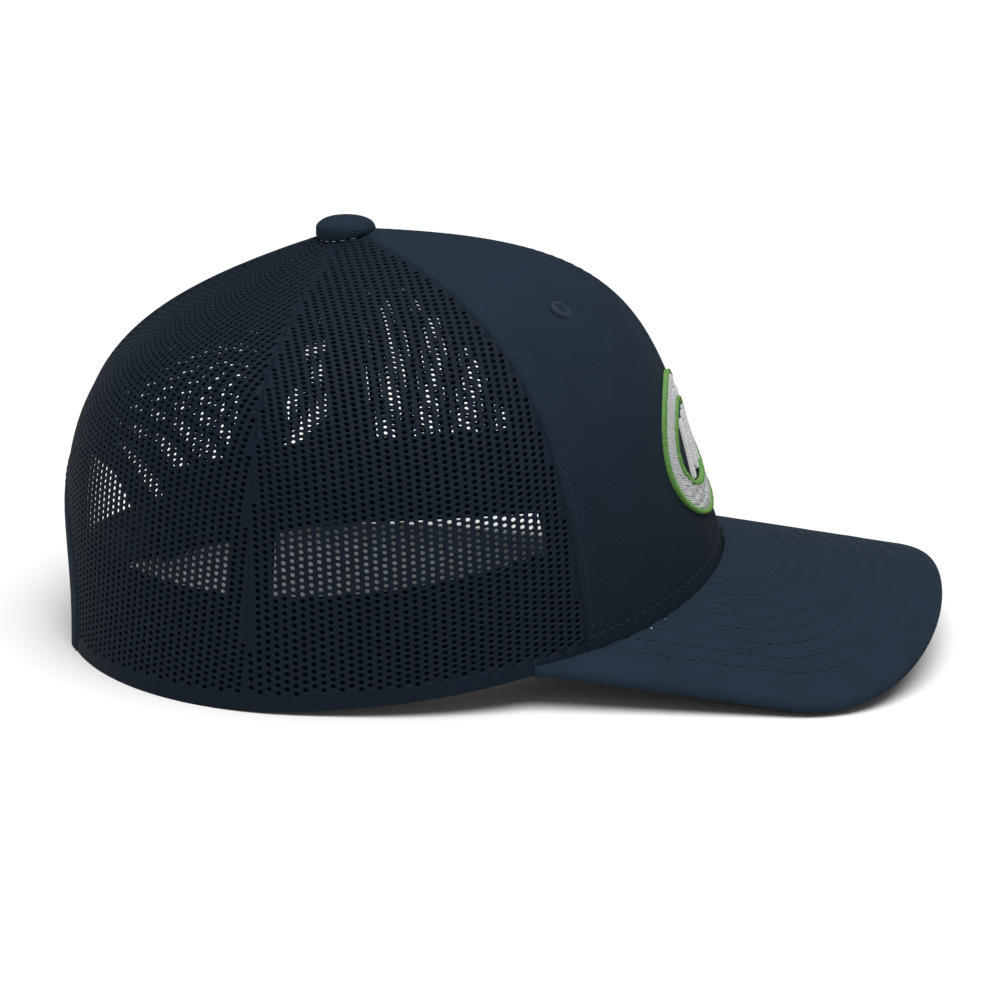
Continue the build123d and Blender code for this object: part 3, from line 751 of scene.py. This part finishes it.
def visor_cloth(on_top):
    """Visor cover, rolled over the edge, with eight drawn-in rows."""
    half = np.concatenate([np.linspace(0, 1, 120)[:-1], np.linspace(1, 2, 84)])
    limit = visor_insets(half, -0.3)
    half = half[limit > 0.25]
    s = np.concatenate([-half[::-1], half[1:]])
    side = np.where(s < 0, -1.0, 1.0)[:, None]
    s = np.abs(s)[:, None]
    limit = visor_insets(s[:, 0], -0.3)[:, None]
    fractions = np.linspace(1, 0, 104)[None, :]
    thick = VISOR_THICKNESS
    bend = thick / 2
    first = np.minimum(bend, limit * 0.9)
    inset = first + (limit - first) * fractions
    x, y = visor_curve(inset, s + 0 * inset)
    walk = np.cumsum(
        np.r_[0, np.hypot(np.diff(x[:, -1]), np.diff((side * y)[:, -1]))]
    )[:, None] + 0 * inset
    relief = visor_relief(inset, walk)
    seam = 0.3 * bell(outside_rim(x, y), 0.8)
    if on_top:
        skin = relief + seam
        back = np.maximum(skin + 0.3, 0.6)
        angles = np.radians(np.linspace(80, -62, 12))[None, :]
    else:
        skin = thick - relief
        back = np.minimum(skin - 0.3, thick - 0.6)
        angles = np.zeros((1, 0))
        inset = np.maximum(inset, 1.0)
    roll_inset = first - first * np.cos(angles)
    roll_depth = bend - bend * np.sin(angles) + 0 * first
    inner_roll_inset = first - (first - 0.55) * np.cos(angles)
    inner_roll_depth = bend - (bend - 0.55) * np.sin(angles) + 0 * first
    insets = np.concatenate([inset, roll_inset], axis=1)
    depths = np.concatenate([skin, roll_depth], axis=1)
    under = np.concatenate([back, inner_roll_depth], axis=1)
    under_inset = np.concatenate([inset, inner_roll_inset], axis=1)

    def place(insets, depths):
        x, y = visor_curve(insets, s + 0 * insets)
        return np.stack([x, side * y, visor_top(x, y) - depths], -1)

    outer, inner = place(insets, depths), place(under_inset, under)
    name = "visor_cloth_top" if on_top else "visor_cloth_under"
    obj, flat, area = shell(name, outer, inner, VISOR_TWILL)
    plan = outer[..., :2].reshape(-1, 2)
    layer = obj.data.uv_layers["cloth"]
    loops = np.zeros(len(obj.data.loops), np.int32)
    obj.data.loops.foreach_get("vertex_index", loops)
    layer.data.foreach_set("uv", np.concatenate([plan, plan])[loops].astype(np.float32).ravel())
    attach(obj, "cap")
    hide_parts("visor_top_cover" if on_top else "visor_under_cover")
    extent = [float(np.ptp(outer[..., k])) + FLAT_ALLOWANCE for k in range(2)]
    return obj, extent, area


def visor_threads(on_top):
    """Stitches of the eight rows on one face."""
    rows = []
    for inset in ROW_INSETS:
        half = np.linspace(0, 2, 240)
        s = np.concatenate([-half[::-1], half[1:]])
        x, y = visor_curve(inset + 0 * s, np.abs(s))
        keep = outside_rim(x, y) > 0.6
        x, y, s = x[keep], y[keep], s[keep]
        y = np.sign(s) * y
        z = visor_top(x, y) - (0.17 if on_top else VISOR_THICKNESS - 0.17)
        line = np.stack([x, y, z], -1)
        slope_x = (visor_top(x + 0.5, y) - visor_top(x - 0.5, y))
        slope_y = (visor_top(x, y + 0.5) - visor_top(x, y - 0.5))
        normal = np.stack([-slope_x, -slope_y, 1 + 0 * x], -1)
        normal /= np.linalg.norm(normal, axis=1, keepdims=True)
        rows.append((line, normal if on_top else -normal))
    word = "top" if on_top else "under"
    obj = stitches(f"visor_thread_{word}", rows, THREAD, 3.3, 2.5, 0.4, 0.3, 0.0)
    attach(obj, "cap")
    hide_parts(f"visor_stitch_rows_{word}")
    return obj


# ---------------------------------------------------------------- rear arch
def arch_path(grow, count=150):
    """Sideways places and heights along the rear opening, grown by a margin."""
    straight = ARCH_HEIGHT - ARCH_HALF_WIDTH
    radius = ARCH_HALF_WIDTH + grow
    walk = np.linspace(0, 1, count)
    leg = straight / (2 * straight + np.pi * ARCH_HALF_WIDTH)
    y = np.where(walk < leg, -radius, np.where(walk > 1 - leg, radius, 0.0))
    z = np.where(walk < leg, walk / leg * straight, (1 - walk) / leg * straight)
    turn = np.clip((walk - leg) / (1 - 2 * leg), 0, 1) * np.pi
    on_arc = (walk >= leg) & (walk <= 1 - leg)
    y = np.where(on_arc, -radius * np.cos(turn), y)
    z = np.where(on_arc, straight + radius * np.sin(turn), z)
    return y, np.maximum(z, 0.02)


def binding():
    """Cloth tape folded over the edge of the rear opening."""
    profile_points = [
        (6.0, 0.0), (5.7, 0.28), (4.9, 0.36), (4.2, 0.24), (3.4, 0.38), (2.0, 0.42), (0.8, 0.42),
        (-0.1, 0.3), (-0.5, -0.05), (-0.62, -0.5), (-0.5, -0.95), (-0.1, -1.3), (0.8, -1.42),
        (2.0, -1.42), (3.4, -1.38), (4.2, -1.24), (4.9, -1.36), (5.7, -1.28), (6.0, -1.0),
    ]
    rings = []
    for grow, out in profile_points:
        y, z = arch_path(grow)
        angle, t = by_plan(y, z, True)
        lift = out + (0.05 * np.sin(np.arange(len(y)) * 2.1) if abs(grow - 4.2) < 1 else 0)
        rings.append(crown(angle, t) + outward(angle, t) * np.reshape(lift, (-1, 1)))
    sections = np.stack(rings, axis=1)
    sections[..., 2] = np.maximum(sections[..., 2], 0.0)
    obj = tube_ring("arch_binding_cloth", sections, VISOR_TWILL)
    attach(obj, "cap")
    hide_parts("arch_binding")
    y, z = arch_path(4.2, 300)
    angle, t = by_plan(y, z, True)
    n = outward(angle, t)
    threads = stitches(
        "arch_binding_thread", [(crown(angle, t) + n * 0.3, n)], THREAD, 2.9, 2.1, 0.4, 0.3
    )
    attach(threads, "cap")


# ---------------------------------------------------------------- button, eyelets, emblem
def button():
    """Cloth-covered button, pleated where the cloth is drawn under its edge."""
    turns = 144
    heights = [
        (0.0, 3.2), (1.2, 3.18), (2.4, 3.1), (3.6, 2.95), (4.8, 2.7), (5.9, 2.35), (6.8, 1.9),
        (7.5, 1.35), (8.0, 0.75), (8.28, 0.1), (8.3, -0.5), (8.1, -1.1), (7.7, -1.6), (7.2, -1.9),
    ]
    turn = np.linspace(0, 2 * np.pi, turns, endpoint=False)
    points, uv = [], []
    for k, (radius, height) in enumerate(heights[1:]):
        pleat = 0.10 * np.clip((radius - 6.0) / 2, 0, 1) * np.sin(18 * turn + 0.8 * np.sin(3 * turn))
        r = radius + pleat
        x, y = BUTTON_X + r * np.cos(turn), r * np.sin(turn)
        ring = np.stack([x, y, CROWN_HEIGHT + height + 0 * r], -1)
        if k >= 9:
            surface = crown(np.degrees(turn), t_at_radius(np.degrees(turn), r))[:, 2]
            ring[:, 2] = np.minimum(ring[:, 2], surface + (1.0, 0.45, 0.1, -0.3)[min(k - 9, 3)])
        points.append(ring)
        arc = sum(
            math.dist(heights[q], heights[q + 1]) for q in range(k + 1)
        )
        uv.append(np.stack([arc * np.cos(turn), arc * np.sin(turn)], -1))
    top = np.array([[BUTTON_X, 0, CROWN_HEIGHT + heights[0][1]]])
    foot = np.array([[BUTTON_X, 0, CROWN_HEIGHT - 0.9]])
    count = len(points)
    faces = []
    for ring in range(count - 1):
        for k in range(turns):
            a, b = 1 + ring * turns + k, 1 + ring * turns + (k + 1) % turns
            faces.append((a, a + turns, b + turns, b))
    last = 1 + (count - 1) * turns
    for k in range(turns):
        faces.append((0, 1 + k, 1 + (k + 1) % turns))
        faces.append((last + turns, last + (k + 1) % turns, last + k))
    points = np.concatenate([top, *points, foot])
    uv = np.concatenate([[[0, 0]], *uv, [[0, 0]]])
    obj = make_object("button_cloth", points, faces, VISOR_TWILL, uv)
    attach(obj, "cap")
    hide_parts("button_cover")


def eyelet(side):
    """Round hole edged with buttonhole stitches."""
    word = "left" if side > 0 else "right"
    angle = np.array([21.5 * side])
    t = t_at_rise(angle, 96.3 - rim(angle)[1])
    centre, normal = crown(angle, t)[0], outward(angle, t)[0]
    across = np.cross([0, 0, 1.0], normal)
    across /= np.linalg.norm(across)
    up = np.cross(normal, across)
    n, m = 168, 14
    turn = np.linspace(0, 2 * np.pi, n, endpoint=False)
    wrap = np.linspace(0, 2 * np.pi, m, endpoint=False)
    ridge = 0.10 * np.abs(np.sin(21 * turn))[:, None]
    width = 0.98 + ridge * 0.8
    radius = 2.42 + width * np.cos(wrap)[None, :]
    lift = -0.55 + (1.08 + ridge) * np.sin(wrap)[None, :]
    ring = (
        centre
        + across * (radius * np.cos(turn)[:, None])[..., None]
        + up * (radius * np.sin(turn)[:, None])[..., None]
        + normal * lift[..., None]
    )
    obj = tube_ring(f"eyelet_thread_{word}", ring, THREAD, closed=True)
    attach(obj, "cap")
    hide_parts(f"eyelet_{word}")


EMBLEM_Z, EMBLEM_A, EMBLEM_B = 54.5, 30.0, 20.5
BAR_HALF_LENGTH, BAR_HALF_WIDTH = 8.5, 2.0


def on_emblem(p, q, lift):
    """Crown points for emblem coordinates, p sideways and q up the slope."""
    p, q = np.broadcast_arrays(np.asarray(p, float), np.asarray(q, float))
    line_t = np.linspace(0.0, 0.6, 600)
    line = crown(0 * line_t, line_t)
    run = np.r_[0, np.cumsum(np.linalg.norm(np.diff(line, axis=0), axis=1))]
    middle = np.interp(EMBLEM_Z, line[:, 2], run)
    t = np.interp(middle + q, run, line_t)
    angle = beside(0.0, p, t)
    return crown(angle, t) + outward(angle, t) * np.asarray(lift)[..., None]


def satin(name, rows, material, nodes):
    """Satin stitching: separate raised threads, each from one edge of the shape to the other."""
    points, faces, start = [], [], 0
    turn = np.linspace(0, np.pi, 5)
    for (p0, q0), (p1, q1), height in rows:
        along = np.linspace(0, 1, 7)
        span = math.hypot(p1 - p0, q1 - q0)
        cross_p, cross_q = -(q1 - q0) / span, (p1 - p0) / span
        arch = height * np.sqrt(np.clip(1 - (2 * along - 1) ** 4, 0, 1))
        width = 0.25
        ring = []
        for w in turn:
            offset = width * math.cos(w)
            lift = -0.05 + (arch + 0.05) * (0.35 + 0.65 * math.sin(w))
            ring.append(on_emblem(p0 + (p1 - p0) * along + cross_p * offset,
                                  q0 + (q1 - q0) * along + cross_q * offset, lift))
        ring.append(on_emblem(p0 + (p1 - p0) * along, q0 + (q1 - q0) * along, -0.25 + 0 * along))
        block = np.stack(ring, axis=1)
        points.append(block.reshape(-1, 3))
        m = block.shape[1]
        for i in range(len(along) - 1):
            for k in range(m):
                a = start + i * m + k
                b = start + i * m + (k + 1) % m
                faces.append((a, a + m, b + m, b))
        faces.append(tuple(start + k for k in range(m)))
        faces.append(tuple(start + (len(along) - 1) * m + k for k in range(m - 1, -1, -1)))
        start += m * len(along)
    obj = make_object(name, np.concatenate(points), faces, material)
    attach(obj, "cap")
    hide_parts(*nodes)
    return obj


def oval_chord(inset_outer, inset_inner, step, lean):
    """Slanted threads across the satin ring, between two ovals."""
    rows = []
    direction = np.array([math.cos(lean), math.sin(lean)])
    normal = np.array([-direction[1], direction[0]])
    outer = np.array([EMBLEM_A - inset_outer, EMBLEM_B - inset_outer])
    inner = np.array([EMBLEM_A - inset_inner, EMBLEM_B - inset_inner])

    def crossing(base, axes):
        """Where a line in the thread direction enters and leaves an oval."""
        a = np.sum((direction / axes) ** 2)
        b = 2 * np.sum(direction * base / axes**2)
        c = np.sum((base / axes) ** 2) - 1
        root = b * b - 4 * a * c
        if root <= 0:
            return None
        root = math.sqrt(root)
        return (-b - root) / (2 * a), (-b + root) / (2 * a)

    for offset in np.arange(-32, 32, step):
        base = normal * offset
        far = crossing(base, outer)
        if far is None:
            continue
        near = crossing(base, inner)
        spans = [far] if near is None else [(far[0], near[0]), (near[1], far[1])]
        for first, last in spans:
            pieces = max(1, round((last - first) / 7.5))
            cuts = np.linspace(first, last, pieces + 1)
            for a, b in zip(cuts[:-1], cuts[1:]):
                a, b = a + RNG.uniform(-0.15, 0.05), b + RNG.uniform(-0.05, 0.15)
                if b - a > 0.4:
                    height = 0.95 + RNG.uniform(-0.08, 0.08)
                    rows.append((base + direction * a, base + direction * b, height))
    return rows


def cord_rows(inset, width):
    """Short threads across a cord that follows an oval."""
    a, b = EMBLEM_A - inset, EMBLEM_B - inset
    turn = np.linspace(0, 2 * np.pi, 2000)
    p, q = a * np.cos(turn), b * np.sin(turn)
    run = np.r_[0, np.cumsum(np.hypot(np.diff(p), np.diff(q)))]
    rows = []
    for s in np.arange(0, run[-1], 0.5):
        w = np.interp(s, run, turn)
        centre = np.array([a * math.cos(w), b * math.sin(w)])
        out = np.array([math.cos(w) / a, math.sin(w) / b])
        out /= np.linalg.norm(out)
        tangent = np.array([-out[1], out[0]])
        half = out * width / 2 + tangent * 0.25 + RNG.normal(0, 0.03, 2)
        rows.append((centre - half, centre + half, 1.25 + RNG.uniform(-0.08, 0.08)))
    return rows


def bar_rows():
    """Threads across the three slanted bars."""
    rows = []
    straight_half = BAR_HALF_LENGTH - BAR_HALF_WIDTH
    lean = math.radians(-20)
    axis = np.array([-math.sin(lean), math.cos(lean)])
    side = np.array([math.cos(lean), math.sin(lean)])
    for x in (-9.0, 0.0, 9.0):
        for s in np.arange(-8.1, 8.15, 0.58):
            over = max(0.0, abs(s) - straight_half)
            half = math.sqrt(max(BAR_HALF_WIDTH**2 - over * over, 0.02))
            middle = np.array([x, 0.0]) + axis * s
            slant = axis * 0.5
            reach = side * half + slant
            rows.append((middle - reach, middle + reach, 1.0 + RNG.uniform(-0.06, 0.06)))
    return rows


for side in (-1, 1):
    word = "left" if side > 0 else "right"
    front_cloth(side)
    net = net_panel(f"side_net_{word}", FRONT_SEAM, REAR_SEAM, f"side_mesh_{word}", side, False)
    net = net_panel(f"back_net_{word}", REAR_SEAM, 180.0, f"back_mesh_{word}", side, True)
    tape(f"front_seam_tape_cloth_{word}", side * FRONT_SEAM, 1.6, f"front_seam_tape_{word}")
    tape(f"rear_seam_tape_cloth_{word}", side * REAR_SEAM, 1.6, f"rear_seam_tape_{word}")

    angle = side * np.linspace(0.6, FRONT_SEAM - 0.6, 40)[:, None]
    t0, t1 = t_at_rise(angle[:, 0], 1.6)[:, None], t_at_rise(angle[:, 0], 85.5)[:, None]
    t = t0 + (t1 - t0) * np.linspace(0, 1, 70)[None, :]
    layer(
        f"front_lining_{word}", angle + 0 * t, t, 1.06, 1.7, LINING, [f"front_buckram_{word}"], "buckram"
    )
    angle = side * np.linspace(FRONT_SEAM + 0.2, 134.3, 150)[:, None]
    t0, t1 = t_at_rise(angle[:, 0], 0.3)[:, None], t_at_rise(angle[:, 0], 12.0)[:, None]
    t = t0 + (t1 - t0) * np.linspace(0, 1, 14)[None, :]
    layer(f"hem_tape_{word}", angle + 0 * t, t, 1.3, 1.7, TAPE, [f"mesh_hem_{word}"], "hem_tape")

    t = np.linspace(
        float(t_at_rise(np.array([side * FRONT_SEAM]), 5.8)[0]),
        float(t_at_radius(np.array([side * FRONT_SEAM]), 9.6)[0]),
        300,
    )
    angle = beside(side * FRONT_SEAM, -side * 2.6 + 0 * t, t)
    threads = stitches(
        f"front_side_thread_{word}", [row_on_crown(angle, t, 0.12)], THREAD, 2.9, 2.1, 0.36, 0.3
    )
    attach(threads, "cap")
    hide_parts(f"front_side_topstitch_{word}")
    eyelet(side)

tape("centre_front_tape_cloth", 0.0, 1.6, "centre_front_tape")
tape("centre_back_tape_cloth", 180.0, 52.0, "centre_back_tape")
sweat_band()

rows = []
for offset in (-2.6, 2.6):
    low = float(t_at_rise(np.array([0.0]), 56.0)[0])
    t = np.linspace(low, float(t_at_radius(np.array([0.0]), 9.6)[0]), 200)
    rows.append(row_on_crown(beside(0.0, offset + 0 * t, t), t, 0.1))
threads = stitches("centre_front_thread", rows, THREAD, 2.9, 2.1, 0.36, 0.3)
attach(threads, "cap")
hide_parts("centre_front_topstitch")

angle = np.linspace(-FRONT_SEAM + 0.5, FRONT_SEAM - 0.5, 400)
threads = stitches(
    "crown_edge_thread", [row_on_crown(angle, t_at_rise(angle, 4.85), 0.12)], THREAD, 2.9, 2.1, 0.36, 0.3
)
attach(threads, "cap")
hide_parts("crown_edge_topstitch")

for on_top in (True, False):
    visor_cloth(on_top)
    visor_threads(on_top)
binding()
button()

ring_rows = oval_chord(1.0, 8.6, 0.62, math.radians(-32))
satin("emblem_satin", ring_rows, WHITE_THREAD, ["emblem_field"])
satin("emblem_bar_satin", bar_rows(), WHITE_THREAD, ["emblem_bars"])
border_rows = cord_rows(0.65, 1.6) + cord_rows(8.95, 1.6)
satin("emblem_cord", border_rows, GREEN_THREAD, ["emblem_border"])

for name, material in (
    ("strap_tab_holes", PLASTIC),
    ("strap_tab_pegs", PLASTIC),
    ("strap_tongue_holes", PLASTIC),
    ("strap_tongue_pegs", PLASTIC),
    ("button_shell", METAL),
    ("button_washer", METAL),
    ("visor_board", BOARD),
):
    node_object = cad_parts[name]
    node_object.data.materials.clear()
    node_object.data.materials.append(material)

# ---------------------------------------------------------------- stage
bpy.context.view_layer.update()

floor_points = [(-9000, -9000, 0), (9000, -9000, 0), (9000, 9000, 0), (-9000, 9000, 0)]
paper, _ = new_material("floor_paper", (0.80, 0.80, 0.80), 1.0, 0.0, 0.0)
floor = make_object("floor", floor_points, [(0, 1, 2, 3)], paper)

scene = bpy.context.scene
scene.view_settings.view_transform = "Standard"
world = bpy.data.worlds.new("studio")
world.use_nodes = True
world.node_tree.nodes["Background"].inputs["Color"].default_value = (1, 1, 1, 1)
world.node_tree.nodes["Background"].inputs["Strength"].default_value = 0.28
scene.world = world

sun_data = bpy.data.lights.new("overhead", "SUN")
sun_data.energy = 3.5
sun_data.angle = math.radians(55)
sun = bpy.data.objects.new("overhead", sun_data)
sun.rotation_euler = Vector((0.12, -0.18, 1.0)).to_track_quat("Z", "Y").to_euler()
scene.collection.objects.link(sun)

camera_data = bpy.data.cameras.new("camera")
camera_data.lens = 92.81
camera_data.sensor_width = 36
camera_data.clip_start = 0.05
camera_data.clip_end = 50
camera = bpy.data.objects.new("camera", camera_data)
camera.location = (0.07298, -0.70306, 0.24625)
aim = Vector((-0.00091, 0, 0.0347)) - camera.location
camera.rotation_euler = aim.to_track_quat("-Z", "Y").to_euler()
scene.collection.objects.link(camera)
scene.camera = camera
